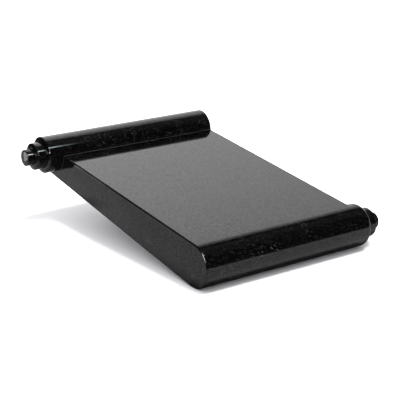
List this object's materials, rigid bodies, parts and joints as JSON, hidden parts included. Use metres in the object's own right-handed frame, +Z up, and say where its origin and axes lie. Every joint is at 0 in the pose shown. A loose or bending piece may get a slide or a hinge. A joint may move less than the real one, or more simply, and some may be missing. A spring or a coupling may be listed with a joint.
{
  "type": "grave plaque",
  "caption": "Scroll-shaped polished black granite grave plaque, raised on a rear foot, with a turned roller along its upper end and stepped turned knobs.",
  "frame": {"origin": "middle of the whole part's footprint, on the ground that it stands on", "axes": "+Z up, +Y from the lower roll to the upper roller, +X to the reader's right"},
  "size_m": [0.2738, 0.308, 0.0947],
  "materials": {
    "polished_granite": "polished",
    "sawn_granite": "sawn"
  },
  "bodies": {
    "root": {"slab": "polished_granite", "top_roller": "polished_granite", "lower_knob": "polished_granite", "rear_foot": "sawn_granite"}
  },
  "joints": []
}
